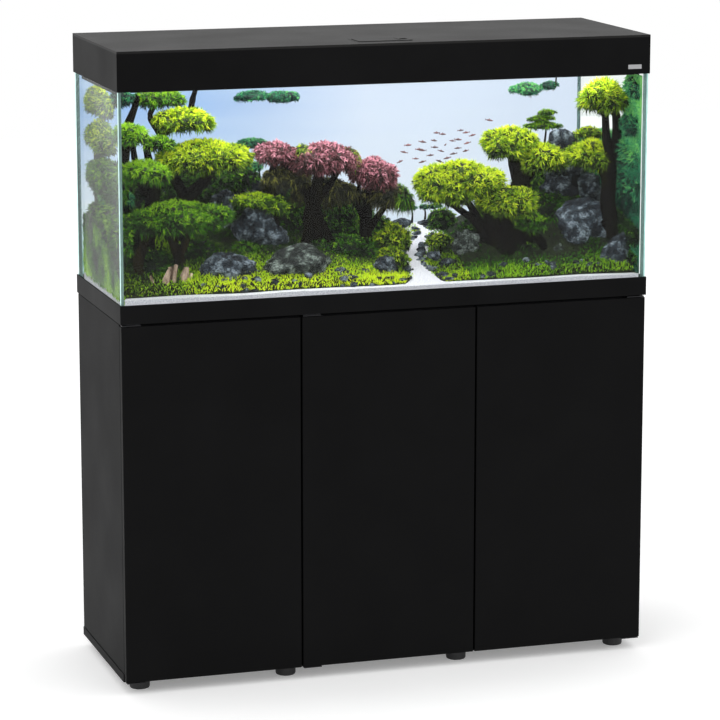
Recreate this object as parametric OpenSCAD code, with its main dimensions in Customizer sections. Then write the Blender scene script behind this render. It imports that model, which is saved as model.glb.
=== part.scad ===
// Aquarium on a three-door stand: lid, glass tank, base frame, cabinet, doors and planted layout.
// Millimetres, origin at the floor under the middle, +X right, +Y to the back, +Z up.

/* [Overall] */
// width of the lid and of the tank's base frame
body_w = 1210; // [900:10:1500]
// depth of the lid and of the tank's base frame
body_d = 420; // [350:5:600]
// height of the glass panes
glass_h = 478; // [300:1:600]
// thickness of the upright glass
glass_t = 8; // [6:1:12]

/* [Cabinet] */
// height of the feet
foot_h = 25; // [15:1:60]
// diameter of the feet
foot_d = 45; // [30:1:80]
// height of the cabinet box
cab_h = 797; // [600:1:900]
// thickness of the cabinet panels
panel_t = 18; // [15:1:22]
// thickness of the underlay mat
mat_t = 3; // [2:0.5:6]

/* [Doors] */
// gap between two doors
door_gap = 4; // [3:0.5:6]
// gap behind the doors
door_back_gap = 3; // [2:0.5:5]
// distance from a door's edge to its pivot
pivot_in = 8; // [7:0.5:12]
// diameter of the pivot pins
pin_d = 6; // [4:0.5:8]
// radial running clearance of every pin
run_c = 0.05; // [0.01:0.01:0.1]

/* [Lid] */
// height of the base frame's outer wall
frame_h = 41; // [30:1:60]
// height of the lid's walls
lid_h = 81; // [50:1:120]
// thickness of the lid's walls
lid_t = 12; // [8:1:16]
// thickness of the lid's top panel
top_t = 5; // [4:0.5:8]

/* [Hidden] */
$fn = 48;
cab_w = body_w - 4;
bottom_lip = 1.5;
cab_y0 = -188;
cab_y1 = 207;
cab_z0 = foot_h;
cab_z1 = foot_h + cab_h;
up_z0 = cab_z0 + panel_t;
in_w = cab_w - 2 * panel_t;
back_y0 = 197;
back_y1 = 205;
div_x = cab_w / 6 + 0.667;
door_y0 = -209;
door_y1 = cab_y0 - door_back_gap;
door_z0 = cab_z0 + 4;
door_z1 = cab_z1 - 3;
door_w = (cab_w - 2 * door_gap) / 3;
pivot_y = -202;
left_pivot = -cab_w / 2 + pivot_in;
middle_pivot = -door_w / 2 + pivot_in;
right_pivot = cab_w / 2 - pivot_in;
bush_l = 14;
frame_z0 = cab_z1 + mat_t;
glass_z0 = frame_z0 + 20;
glass_z1 = glass_z0 + glass_h;
glass_x = body_w / 2 - 3;
glass_y = body_d / 2 - 3;
base_z1 = glass_z0 + 10;
lid_z0 = glass_z1;
lid_z1 = lid_z0 + lid_h;
lid_z2 = lid_z1 + top_t;
tube_z = lid_z1 - 35;
tube_y = 70;
hatch_x = 65;
hatch_y0 = -170;
hatch_y1 = -110;
hatch_gap = 0.8;
hatch_top = lid_z2 + 1.2;
hatch_pin_d = 2.4;
hatch_axis_x = -hatch_x + 4.2;
hatch_pad_x0 = hatch_axis_x + 4;
hatch_axis_z = lid_z1 + 2.5;

foot_x = [-560, -225, 178, 560];
foot_y = [-152, 152];

black = [0.09, 0.09, 0.095];
dark = [0.16, 0.16, 0.17];
steel = [0.7, 0.7, 0.72];
clear = [0.75, 0.9, 0.88, 0.35];
white = [0.9, 0.9, 0.88];
green = [0.45, 0.6, 0.15];
brown = [0.16, 0.11, 0.08];
grey = [0.33, 0.38, 0.4];

// box between two corners
module box(a, b) {
    translate(a)
        cube(b - a);
}

// round bar along X, Y or Z from a point
module bar_x(p, d, l) {
    translate(p)
        rotate([0, 90, 0])
            cylinder(d = d, h = l);
}

module bar_y(p, d, l) {
    translate(p)
        rotate([-90, 0, 0])
            cylinder(d = d, h = l);
}

module bar_z(p, d, l) {
    translate(p)
        cylinder(d = d, h = l);
}

// low-sided ellipsoid used for plants and stones
module blob(c, r, n = 12) {
    translate(c)
        scale(r)
            sphere(r = 1, $fn = n);
}

// tapered branch between two points
module branch(a, b, ra, rb) {
    hull() {
        translate(a)
            cylinder(r = ra, h = 0.5, $fn = 10);
        translate(b)
            cylinder(r = rb, h = 0.5, $fn = 10);
    }
}

// ---------------------------------------------------------------- cabinet

module feet() {
    color(dark)
        for (x = foot_x, y = foot_y)
            translate([x, y, 0])
                rotate_extrude()
                    polygon([[0, 0], [foot_d / 2 - 4, 0], [foot_d / 2 - 1.2, 1.2], [foot_d / 2, 4],
                        [foot_d / 2, foot_h], [0, foot_h]]);
}

module bottom_panel() {
    color(black)
        box([-cab_w / 2 - bottom_lip, cab_y0, cab_z0], [cab_w / 2 + bottom_lip, cab_y1, up_z0]);
}

module top_panel() {
    color(black)
        box([-in_w / 2, cab_y0, cab_z1 - panel_t], [in_w / 2, cab_y1, cab_z1]);
}

module left_side_panel() {
    color(black)
        box([-cab_w / 2, cab_y0, up_z0], [-in_w / 2, cab_y1, cab_z1]);
}

module right_side_panel() {
    color(black)
        box([in_w / 2, cab_y0, up_z0], [cab_w / 2, cab_y1, cab_z1]);
}

module left_divider() {
    color(black)
        box([-div_x - panel_t / 2, cab_y0, up_z0], [-div_x + panel_t / 2, back_y0, cab_z1 - panel_t]);
}

module right_divider() {
    color(black)
        box([div_x - panel_t / 2, cab_y0, up_z0], [div_x + panel_t / 2, back_y0, cab_z1 - panel_t]);
}

module back_panel() {
    color(dark)
        box([-in_w / 2, back_y0, up_z0], [in_w / 2, back_y1, cab_z1 - panel_t - 80]);
}

shelf_z = 410;
shelf_t = 16;
shelf_x0 = div_x + panel_t / 2 + 1;
shelf_x1 = in_w / 2 - 1;

module shelves() {
    color(black)
        for (s = [-1, 1])
            box([s > 0 ? shelf_x0 : -shelf_x1, -165, shelf_z],
                [s > 0 ? shelf_x1 : -shelf_x0, 190, shelf_z + shelf_t]);
}

module shelf_pins() {
    color(steel)
        for (s = [-1, 1], y = [-120, 140]) {
            bar_x([s > 0 ? shelf_x0 - 9 : -shelf_x0 - 7, y, shelf_z - 2.5], 5, 16);
            bar_x([s > 0 ? shelf_x1 - 7 : -shelf_x1 - 9, y, shelf_z - 2.5], 5, 16);
        }
}

module wood_dowels() {
    color([0.75, 0.62, 0.42])
        for (y = [-140, 0, 140]) {
            for (x = [-cab_w / 2 + panel_t / 2, -div_x, div_x, cab_w / 2 - panel_t / 2])
                bar_z([x, y, up_z0 - 12], 8, 32);
            for (x = [-div_x, div_x])
                bar_z([x, y, cab_z1 - panel_t - 20], 8, 32);
            for (s = [-1, 1])
                bar_x([s > 0 ? in_w / 2 - 22 : -in_w / 2 - 10, y, cab_z1 - panel_t / 2], 8, 32);
        }
}

// ---------------------------------------------------------------- door hardware

// one cranked bracket; s = 1 when the door lies to the right of its pivot, t = 1 at the top
module bracket(px, s, t) {
    plate_z = t > 0 ? cab_z1 - 1.5 : cab_z0 + 0.5;
    leg_z0 = t > 0 ? cab_z1 - 16 : plate_z;
    leg_z1 = t > 0 ? plate_z + 2 : cab_z0 + 16;
    box([px + (s > 0 ? -6 : -35), pivot_y - 6, plate_z], [px + (s > 0 ? 35 : 6), cab_y0, plate_z + 2]);
    box([px + (s > 0 ? 15 : -35), cab_y0 - 2, leg_z0], [px + (s > 0 ? 35 : -15), cab_y0, leg_z1]);
}

module hinge_brackets() {
    color(steel)
        for (p = [[left_pivot, 1], [middle_pivot, 1], [right_pivot, -1]], t = [-1, 1])
            bracket(p[0], p[1], t);
}

module hinge_pins() {
    color(steel)
        for (x = [left_pivot, middle_pivot, right_pivot]) {
            bar_z([x, pivot_y, cab_z0 + 0.5], pin_d, bush_l + 2);
            bar_z([x, pivot_y, cab_z1 + 0.5 - bush_l - 2], pin_d, bush_l + 2);
        }
}

// door panel between two edges, with the seats for its two bushes and eased front edges
module door_panel(x0, x1, px) {
    color(black)
        difference() {
            translate([0, 0, door_z0])
                linear_extrude(door_z1 - door_z0)
                    polygon([[x0, door_y1], [x0, door_y0 + 1], [x0 + 1, door_y0], [x1 - 1, door_y0],
                        [x1, door_y0 + 1], [x1, door_y1]]);
            bar_z([px, pivot_y, door_z0 - 1], 10, bush_l + 1);
            bar_z([px, pivot_y, door_z1 - bush_l], 10, bush_l + 1);
        }
}

module door_bushes(px) {
    color(white)
        for (t = [0, 1])
            difference() {
                bar_z([px, pivot_y, t > 0 ? door_z1 - bush_l : door_z0], 10, bush_l);
                bar_z([px, pivot_y, t > 0 ? door_z1 - bush_l + 1 : door_z0 - 1], pin_d + 2 * run_c, bush_l);
            }
}

latch_z = cab_z1 - panel_t - 8;
left_latch = -div_x - 40;
middle_latch = div_x - 40;
right_latch = div_x + 40;

module latch_housings() {
    color(dark)
        for (x = [left_latch, middle_latch, right_latch])
            difference() {
                box([x - 8, cab_y0 + 2, latch_z - 8], [x + 8, cab_y0 + 58, latch_z + 8]);
                bar_y([x, cab_y0, latch_z], 8 + 2 * run_c, 50);
            }
}

module latch_plunger(x) {
    color(white)
        bar_y([x, door_y1 + 1, latch_z], 8, 40);
}

module latch_strike(x) {
    color(steel)
        box([x - 12, door_y1, latch_z - 9], [x + 12, door_y1 + 1, latch_z + 9]);
}

module left_door_panel() {
    door_panel(-cab_w / 2, -cab_w / 2 + door_w, left_pivot);
}

module left_door_bushes() {
    door_bushes(left_pivot);
}

module left_latch_strike() {
    latch_strike(left_latch);
}

module left_latch_plunger() {
    latch_plunger(left_latch);
}

module middle_door_panel() {
    door_panel(-door_w / 2, door_w / 2, middle_pivot);
}

module middle_door_bushes() {
    door_bushes(middle_pivot);
}

module middle_latch_strike() {
    latch_strike(middle_latch);
}

module middle_latch_plunger() {
    latch_plunger(middle_latch);
}

module right_door_panel() {
    door_panel(cab_w / 2 - door_w, cab_w / 2, right_pivot);
}

module right_door_bushes() {
    door_bushes(right_pivot);
}

module right_latch_strike() {
    latch_strike(right_latch);
}

module right_latch_plunger() {
    latch_plunger(right_latch);
}

// ---------------------------------------------------------------- tank

module underlay_mat() {
    color([0.25, 0.25, 0.26])
        box([-cab_w / 2 + 3, cab_y0 + 4, cab_z1], [cab_w / 2 - 3, cab_y1 - 1, frame_z0]);
}

module base_frame_front() {
    color(black)
        difference() {
            box([-body_w / 2, -body_d / 2, frame_z0], [body_w / 2, -body_d / 2 + 20, frame_z0 + frame_h]);
            box([-glass_x, -glass_y, glass_z0], [glass_x, -body_d / 2 + 30, glass_z0 + 50]);
        }
}

module base_frame_rear() {
    color(black)
        difference() {
            box([-body_w / 2, body_d / 2 - 20, frame_z0], [body_w / 2, body_d / 2, frame_z0 + frame_h]);
            box([-glass_x, body_d / 2 - 30, glass_z0], [glass_x, glass_y, glass_z0 + 50]);
        }
}

module base_frame_sides() {
    color(black)
        for (s = [0, 1])
            mirror([s, 0, 0])
                difference() {
                    box([-body_w / 2, -body_d / 2 + 20, frame_z0],
                        [-body_w / 2 + 20, body_d / 2 - 20, frame_z0 + frame_h]);
                    box([-glass_x, -body_d / 2, glass_z0], [-body_w / 2 + 30, body_d / 2, glass_z0 + 50]);
                }
}

module glass_front() {
    color(clear)
        box([-glass_x, -glass_y, glass_z0], [glass_x, -glass_y + glass_t, glass_z1]);
}

module glass_back() {
    color(clear)
        box([-glass_x, glass_y - glass_t, glass_z0], [glass_x, glass_y, glass_z1]);
}

module glass_left() {
    color(clear)
        box([-glass_x, -glass_y + glass_t + 1, glass_z0],
            [-glass_x + glass_t, glass_y - glass_t - 1, glass_z1]);
}

module glass_right() {
    color(clear)
        box([glass_x - glass_t, -glass_y + glass_t + 1, glass_z0],
            [glass_x, glass_y - glass_t - 1, glass_z1]);
}

module glass_bottom() {
    color(clear)
        box([-glass_x + glass_t + 1, -glass_y + glass_t + 1, glass_z0],
            [glass_x - glass_t - 1, glass_y - glass_t - 1, base_z1]);
}

module silicone_seams() {
    inner_x = glass_x - glass_t;
    inner_y = glass_y - glass_t;
    color([0.1, 0.1, 0.1])
        for (s = [0, 1]) {
            mirror([0, s, 0]) {
                for (m = [0, 1])
                    mirror([m, 0, 0])
                        box([-glass_x, -inner_y, glass_z0], [-inner_x, -inner_y + 1, glass_z1]);
                box([-inner_x + 1, -inner_y, glass_z0], [inner_x - 1, -inner_y + 1, base_z1]);
            }
            mirror([s, 0, 0])
                box([-inner_x, -inner_y + 1, glass_z0], [-inner_x + 1, inner_y - 1, base_z1]);
        }
}

module background_film() {
    color([0.75, 0.88, 0.95])
        box([-glass_x + 2, glass_y, frame_z0 + frame_h], [glass_x - 2, glass_y + 0.5, glass_z1 - 2]);
}

// ---------------------------------------------------------------- equipment in the tank

heater_p = [-560, 163, 940];
filter_p = [540, 150, 915];
filter_h = 185;

module heater_tube() {
    color(dark)
        difference() {
            bar_z(heater_p, 24, 220);
            bar_z(heater_p + [0, 0, 208], 12 + 2 * run_c, 20);
        }
}

module heater_knob() {
    color(black)
        union() {
            bar_z(heater_p + [0, 0, 209], 12, 12);
            bar_z(heater_p + [0, 0, 220.2], 24, 14);
            box(heater_p + [-1.5, -13, 222], heater_p + [1.5, -8, 234.2]);
        }
}

module filter_body() {
    color(dark)
        difference() {
            box(filter_p + [-38, -32, 0], filter_p + [38, 32, filter_h]);
            bar_z(filter_p + [0, 0, filter_h - 12], 20 + 2 * run_c, 20);
        }
}

module filter_nozzle() {
    color(black)
        difference() {
            union() {
                bar_z(filter_p + [0, 0, filter_h - 11], 20, 12);
                bar_z(filter_p + [0, 0, filter_h + 0.2], 30, 22);
                bar_x(filter_p + [-42, 0, filter_h + 12], 16, 42);
            }
            bar_x(filter_p + [-43, 0, filter_h + 12], 12, 43);
        }
}

module suction_cups() {
    y1 = glass_y - glass_t;
    color([0.2, 0.2, 0.2])
        union() {
            for (z = [50, 160]) {
                bar_y([heater_p[0], heater_p[1] + 10, heater_p[2] + z], 8, y1 - heater_p[1] - 12);
                bar_y([heater_p[0], y1 - 3, heater_p[2] + z], 28, 3);
                for (x = [filter_p[0] - 20, filter_p[0] + 20]) {
                    bar_y([x, filter_p[1] + 32, filter_p[2] + z], 8, y1 - filter_p[1] - 34);
                    bar_y([x, y1 - 3, filter_p[2] + z], 28, 3);
                }
            }
        }
}

// ---------------------------------------------------------------- planted layout

sand_x = glass_x - glass_t;
sand_y = glass_y - glass_t;

module sand_bed() {
    z0 = base_z1;
    color([0.92, 0.9, 0.85])
        translate([-sand_x, 0, 0])
            rotate([90, 0, 90])
                linear_extrude(2 * sand_x)
                    polygon([[-sand_y, z0], [sand_y, z0], [sand_y, z0 + 55], [-sand_y, z0 + 23]]);
}

module planted_slopes() {
    z0 = base_z1 + 15;
    color([0.3, 0.42, 0.12])
        for (p = [[-585, -120, -420, 1], [150, 585, 470, 1]])
            hull() {
                box([p[0], -170, z0], [p[1], 120, z0 + 20]);
                box([p[2] - 90, -60, z0], [p[2] + 90, 60, z0 + 90]);
            }
}

module rocks() {
    color(grey)
        union() {
            blob([-180, -110, 915], [72, 34, 36]);
            blob([-360, -130, 905], [62, 26, 34]);
            blob([-310, 95, 985], [36, 26, 86]);
            blob([25, -120, 897], [30, 22, 26]);
            blob([213, -100, 930], [32, 26, 40]);
            blob([478, -100, 970], [66, 38, 48]);
            blob([566, -150, 900], [22, 20, 34]);
            blob([455, 95, 985], [40, 26, 90]);
        }
}

module driftwood() {
    color(brown)
        union() {
            branch([-520, -100, 890], [-430, -90, 1010], 26, 14);
            branch([-470, -10, 900], [-400, -15, 1160], 20, 9);
            branch([-400, 30, 900], [-395, 30, 1230], 16, 8);
            branch([-540, 0, 900], [-530, 0, 1190], 14, 8);
            branch([-96, 0, 880], [-90, 0, 1110], 24, 12);
            branch([20, 20, 880], [15, 10, 1085], 20, 10);
            branch([330, -95, 885], [240, -60, 1070], 28, 12);
            branch([345, -20, 890], [372, 50, 1120], 26, 10);
            branch([400, -10, 890], [450, 0, 1110], 18, 8);
            branch([560, -80, 890], [560, -70, 1225], 16, 8);
        }
}

module moss_canopies() {
    color(green)
        union() {
            blob([-445, 60, 1275], [45, 34, 18]);
            blob([-413, 0, 1232], [68, 44, 22]);
            blob([-545, -60, 1212], [32, 38, 26]);
            blob([-370, -30, 1158], [100, 52, 34]);
            blob([-520, -50, 1132], [44, 48, 26]);
            blob([-444, -80, 1035], [114, 60, 36]);
            blob([212, -50, 1082], [102, 58, 44]);
            blob([372, 55, 1142], [66, 46, 30]);
            blob([460, 0, 1118], [62, 44, 28]);
            blob([380, -90, 1000], [60, 44, 40]);
            blob([540, -80, 1172], [40, 40, 20]);
            blob([548, -70, 1240], [36, 52, 38]);
        }
}

module red_bush() {
    color([0.72, 0.34, 0.32])
        union() {
            blob([-197, 20, 1152], [44, 40, 28]);
            blob([-90, 0, 1138], [58, 50, 38]);
            blob([22, 0, 1100], [48, 46, 34]);
        }
}

// ---------------------------------------------------------------- lid

wall_x = body_w / 2 - lid_t;
wall_y = body_d / 2 - lid_t;
badge_p = [569, lid_z0 + 16];
locator_drop = 12;
front_drop = 3;

module lid_front_wall() {
    color(black)
        difference() {
            box([-body_w / 2, -body_d / 2, lid_z0], [body_w / 2, -wall_y, lid_z1]);
            box([badge_p[0] - 16, -body_d / 2 - 1, badge_p[1] - 5],
                [badge_p[0] + 16, -body_d / 2 + 1, badge_p[1] + 5]);
        }
}

module lid_rear_wall() {
    color(black)
        box([-body_w / 2, wall_y, lid_z0], [body_w / 2, body_d / 2, lid_z1]);
}

module lid_side_walls() {
    color(black)
        for (s = [0, 1])
            mirror([s, 0, 0])
                box([-body_w / 2, -wall_y, lid_z0], [-wall_x, wall_y, lid_z1]);
}

module lid_top_panel() {
    color(dark)
        difference() {
            box([-body_w / 2, -body_d / 2, lid_z1], [body_w / 2, body_d / 2, lid_z2]);
            box([-hatch_x, hatch_y0, lid_z1 - 1], [hatch_x, hatch_y1, lid_z2 + 1]);
        }
}

module lid_locators() {
    color(dark)
        for (s = [0, 1]) {
            mirror([0, s, 0])
                box([-wall_x + 20, -wall_y, lid_z0 - (s == 0 ? front_drop : locator_drop)],
                    [wall_x - 20, -wall_y + 3, lid_z0 + 22]);
            mirror([s, 0, 0])
                box([-wall_x, -wall_y + 20, lid_z0 - locator_drop],
                    [-wall_x + 3, wall_y - 20, lid_z0 + 22]);
        }
}

module lid_badge() {
    color(steel)
        box([badge_p[0] - 15.8, -body_d / 2 + 0.2, badge_p[1] - 4.8],
            [badge_p[0] + 15.8, -body_d / 2 + 1, badge_p[1] + 4.8]);
}

module led_sockets() {
    color(dark)
        for (s = [0, 1], y = [-tube_y, tube_y])
            mirror([s, 0, 0])
                difference() {
                    box([-wall_x, y - 18, tube_z - 18], [-wall_x + 16, y + 18, tube_z + 18]);
                    bar_x([-wall_x + 4, y, tube_z], 12 + 2 * run_c, 20);
                }
}

module led_tube(y) {
    half = wall_x - 17;
    color(white)
        union() {
            bar_x([-half, y, tube_z], 26, 2 * half);
            bar_x([-half - 12, y, tube_z], 12, 2 * half + 24);
        }
}

module led_tube_front() {
    led_tube(-tube_y);
}

module led_tube_rear() {
    led_tube(tube_y);
}

module hatch_rim() {
    color(dark)
        union() {
            box([-hatch_x + 9, hatch_y0 - 4, lid_z1 - 3], [hatch_x + 3, hatch_y0 + 3, lid_z1]);
            box([-hatch_x + 9, hatch_y1 - 3, lid_z1 - 3], [hatch_x + 3, hatch_y1 + 4, lid_z1]);
            box([hatch_x - 4, hatch_y0 + 3.5, lid_z1 - 3], [hatch_x + 3, hatch_y1 - 3.5, lid_z1]);
        }
}

module hatch_pin() {
    color(steel)
        bar_y([hatch_axis_x, hatch_y0 - 8, hatch_axis_z], hatch_pin_d, hatch_y1 - hatch_y0 + 16);
}

module hatch_flap() {
    color(dark)
        difference() {
            union() {
                box([-hatch_x + 1.2, hatch_y0 + hatch_gap, lid_z1],
                    [hatch_x - hatch_gap, hatch_y1 - hatch_gap, lid_z2]);
                // the raised part starts beyond the pin, so that it clears the opening as it swings
                box([hatch_pad_x0, hatch_y0 + hatch_gap, lid_z2 - 1],
                    [hatch_x - hatch_gap, hatch_y1 - hatch_gap, hatch_top]);
            }
            bar_y([hatch_axis_x, hatch_y0, hatch_axis_z], hatch_pin_d + 2 * run_c, hatch_y1 - hatch_y0);
            // grip groove and finger recess
            box([hatch_x - 28, hatch_y0, hatch_top - 1.4], [hatch_x - 26, hatch_y1, hatch_top + 1]);
            translate([hatch_x - 13, (hatch_y0 + hatch_y1) / 2, hatch_top - 3])
                cylinder(d1 = 16, d2 = 19, h = 3.1);
        }
}

// ---------------------------------------------------------------- drawing

feet();
bottom_panel();
top_panel();
left_side_panel();
right_side_panel();
left_divider();
right_divider();
back_panel();
shelves();
shelf_pins();
wood_dowels();
hinge_brackets();
hinge_pins();
latch_housings();
left_door_panel();
left_door_bushes();
left_latch_strike();
left_latch_plunger();
middle_door_panel();
middle_door_bushes();
middle_latch_strike();
middle_latch_plunger();
right_door_panel();
right_door_bushes();
right_latch_strike();
right_latch_plunger();
underlay_mat();
base_frame_front();
base_frame_rear();
base_frame_sides();
glass_front();
glass_back();
glass_left();
glass_right();
glass_bottom();
silicone_seams();
background_film();
heater_tube();
heater_knob();
filter_body();
filter_nozzle();
suction_cups();
sand_bed();
planted_slopes();
rocks();
driftwood();
moss_canopies();
red_bush();
lid_front_wall();
lid_rear_wall();
lid_side_walls();
lid_top_panel();
lid_locators();
lid_badge();
led_sockets();
led_tube_front();
led_tube_rear();
hatch_rim();
hatch_pin();
hatch_flap();
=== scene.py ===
"""Looks for the planted aquarium on its three-door stand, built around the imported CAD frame."""

import math

import bpy
import numpy as np
from mathutils import Euler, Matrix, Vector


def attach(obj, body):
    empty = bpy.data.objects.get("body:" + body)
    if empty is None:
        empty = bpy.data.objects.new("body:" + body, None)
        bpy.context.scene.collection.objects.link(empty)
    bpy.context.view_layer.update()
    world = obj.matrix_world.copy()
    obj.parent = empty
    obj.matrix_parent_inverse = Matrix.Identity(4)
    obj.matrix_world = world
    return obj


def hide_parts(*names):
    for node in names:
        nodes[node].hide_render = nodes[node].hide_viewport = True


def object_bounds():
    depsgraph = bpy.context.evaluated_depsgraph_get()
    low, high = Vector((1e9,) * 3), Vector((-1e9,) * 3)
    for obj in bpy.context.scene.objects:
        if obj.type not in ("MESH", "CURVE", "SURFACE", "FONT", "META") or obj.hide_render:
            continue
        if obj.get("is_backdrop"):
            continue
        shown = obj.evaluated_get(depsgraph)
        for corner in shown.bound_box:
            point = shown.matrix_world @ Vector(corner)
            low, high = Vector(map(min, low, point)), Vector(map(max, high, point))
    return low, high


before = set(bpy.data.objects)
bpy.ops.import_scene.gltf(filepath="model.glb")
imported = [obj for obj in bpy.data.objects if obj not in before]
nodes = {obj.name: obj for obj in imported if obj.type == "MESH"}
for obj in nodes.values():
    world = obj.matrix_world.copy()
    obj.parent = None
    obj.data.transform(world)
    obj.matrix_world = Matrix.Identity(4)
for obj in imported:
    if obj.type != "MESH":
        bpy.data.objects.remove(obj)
cad_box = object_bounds()
scene = bpy.context.scene
scene.view_settings.view_transform = "Standard"
TANK = "cabinet_and_tank"
INNER_LOW, INNER_HIGH = (-0.5935, -0.1985, 0.8552), (0.5935, 0.1985, 1.318)

# ------------------------------------------------------------------ camera and studio

camera = bpy.data.objects.new("camera", bpy.data.cameras.new("camera"))
camera.data.lens = 160.9
camera.data.sensor_width = 36
camera.location = (-2.158, -6.793, 2.115)
camera.rotation_euler = Euler((math.radians(90 - 11.445), 0, -math.radians(17.608)))
camera.data.clip_end = 60
scene.collection.objects.link(camera)
scene.camera = camera


# ------------------------------------------------------------------ materials


class Tree:
    """Small helper that wires one node material."""

    def __init__(self, name):
        self.m = bpy.data.materials.new(name)
        self.m.use_nodes = True
        self.t = self.m.node_tree
        self.t.nodes.clear()
        self.out = self.add("OutputMaterial")
        self.coord = self.add("TexCoord").outputs["Object"]

    def add(self, kind, **values):
        n = self.t.nodes.new("ShaderNode" + kind)
        for k, v in values.items():
            setattr(n, k, v)
        return n

    def link(self, a, b):
        self.t.links.new(a, b)

    def mapped(self, scale):
        n = self.add("Mapping")
        n.inputs["Scale"].default_value = scale
        self.link(self.coord, n.inputs["Vector"])
        return n.outputs["Vector"]

    def noise(self, scale, detail=5, rough=0.55, vector=None):
        n = self.add("TexNoise")
        n.inputs["Scale"].default_value = scale
        n.inputs["Detail"].default_value = detail
        n.inputs["Roughness"].default_value = rough
        self.link(vector or self.coord, n.inputs["Vector"])
        return n.outputs["Fac"]

    def voronoi(self, scale, feature="F1", vector=None):
        n = self.add("TexVoronoi", feature=feature)
        n.inputs["Scale"].default_value = scale
        self.link(vector or self.coord, n.inputs["Vector"])
        return n.outputs["Distance"]

    def ramp(self, fac, stops):
        n = self.add("ValToRGB")
        e = n.color_ramp.elements
        while len(e) < len(stops):
            e.new(0.5)
        for i, (p, c) in enumerate(stops):
            e[i].position = p
            e[i].color = (*c, 1)
        self.link(fac, n.inputs["Fac"])
        return n.outputs["Color"]

    def span(self, fac, low, high, a=0.3, b=0.7):
        n = self.add("MapRange")
        for k, v in (("From Min", a), ("From Max", b), ("To Min", low), ("To Max", high)):
            n.inputs[k].default_value = v
        self.link(fac, n.inputs["Value"])
        return n.outputs["Result"]

    def math(self, op, a, b=0.5):
        n = self.add("Math", operation=op)
        for i, v in enumerate((a, b)):
            if isinstance(v, (int, float)):
                n.inputs[i].default_value = v
            else:
                self.link(v, n.inputs[i])
        return n.outputs[0]

    def mix(self, fac, a, b, blend="MIX"):
        n = self.add("Mix", data_type="RGBA", blend_type=blend)
        for i, v in ((0, fac), (6, a), (7, b)):
            if isinstance(v, (int, float)):
                n.inputs[i].default_value = v
            elif isinstance(v, tuple):
                n.inputs[i].default_value = (*v, 1)
            else:
                self.link(v, n.inputs[i])
        return n.outputs[2]

    def principled(self, color, rough, bump=None, strength=0.2, distance=0.001, **sockets):
        p = self.add("BsdfPrincipled")
        if isinstance(color, tuple):
            p.inputs["Base Color"].default_value = (*color, 1)
        else:
            self.link(color, p.inputs["Base Color"])
        if isinstance(rough, (int, float)):
            p.inputs["Roughness"].default_value = rough
        else:
            self.link(rough, p.inputs["Roughness"])
        if bump is not None:
            b = self.add("Bump")
            b.inputs["Strength"].default_value = strength
            b.inputs["Distance"].default_value = distance
            self.link(bump, b.inputs["Height"])
            self.link(b.outputs["Normal"], p.inputs["Normal"])
        for k, v in sockets.items():
            s = p.inputs[k.replace("_", " ")]
            if isinstance(v, (int, float)):
                s.default_value = v
            elif isinstance(v, tuple):
                s.default_value = (*v, 1)
            else:
                self.link(v, s)
        return p

    def done(self, shader):
        self.link(shader.outputs[0], self.out.inputs["Surface"])
        return self.m


def grained(name, dark, light, scale=300, rough=(0.4, 0.55), strength=0.15, stretch=(1, 1, 1), spec=0.3):
    """Moulded plastic, board and rubber: fine grain, faint cloudiness and uneven sheen."""
    t = Tree(name)
    v = t.mapped(stretch)
    fine = t.noise(scale, 4, 0.6, v)
    cloud = t.noise(7, 3, 0.5, v)
    both = t.math("ADD", t.math("MULTIPLY", fine, 0.5), t.math("MULTIPLY", cloud, 0.5))
    color = t.ramp(both, [(0.35, dark), (0.65, light)])
    p = t.principled(color, t.span(both, *rough), fine, strength, 0.0004, Specular_IOR_Level=spec)
    return t.done(p)


def metal(name, color, rough=(0.25, 0.4)):
    t = Tree(name)
    brushed = t.noise(60, 4, 0.6, t.mapped((1, 1, 14)))
    c = t.ramp(brushed, [(0.3, tuple(v * 0.8 for v in color)), (0.7, color)])
    return t.done(t.principled(c, t.span(brushed, *rough), brushed, 0.08, 0.0003, Metallic=1.0))


def glass_pane(name, axis, haze=0.0):
    """Clear pane whose narrow faces show the pale green of thick glass, made to glow as painted light."""
    t = Tree(name)
    normal = t.add("SeparateXYZ")
    t.link(t.add("NewGeometry").outputs["Normal"], normal.inputs[0])
    flat = t.math("ABSOLUTE", normal.outputs[axis])
    edge = t.math("LESS_THAN", flat, 0.7)
    clear = t.add("BsdfTransparent")
    clear.inputs["Color"].default_value = (0.975, 0.99, 0.985, 1)
    gloss = t.add("BsdfGlossy")
    gloss.inputs["Roughness"].default_value = 0.02
    facing = t.add("LayerWeight")
    facing.inputs["Blend"].default_value = 0.5
    shine = t.math("ADD", t.math("MULTIPLY", t.math("POWER", facing.outputs["Facing"], 5), 0.3), 0.008)
    face = t.add("MixShader")
    t.link(shine, face.inputs[0])
    t.link(clear.outputs[0], face.inputs[1])
    t.link(gloss.outputs[0], face.inputs[2])
    if haze:
        milky = t.add("BsdfTranslucent")
        milky.inputs["Color"].default_value = (0.9, 0.95, 0.97, 1)
        veil = t.add("MixShader")
        streak = t.noise(9, 3, 0.5)
        t.link(t.span(streak, haze * 0.75, haze * 1.2), veil.inputs[0])
        t.link(face.outputs[0], veil.inputs[1])
        t.link(milky.outputs[0], veil.inputs[2])
        face = veil
    tint_and_shading = t.ramp(t.noise(30, 3), [(0.3, (0.36, 0.62, 0.6)), (0.7, (0.6, 0.86, 0.82))])
    # The narrow faces' green is the glass's own colour; their emission is painted glow.
    rim = t.principled(tint_and_shading, 0.2, Emission_Color=tint_and_shading, Emission_Strength=0.4)
    both = t.add("MixShader")
    t.link(edge, both.inputs[0])
    t.link(face.outputs[0], both.inputs[1])
    t.link(rim.outputs[0], both.inputs[2])
    return t.done(both)


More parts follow.
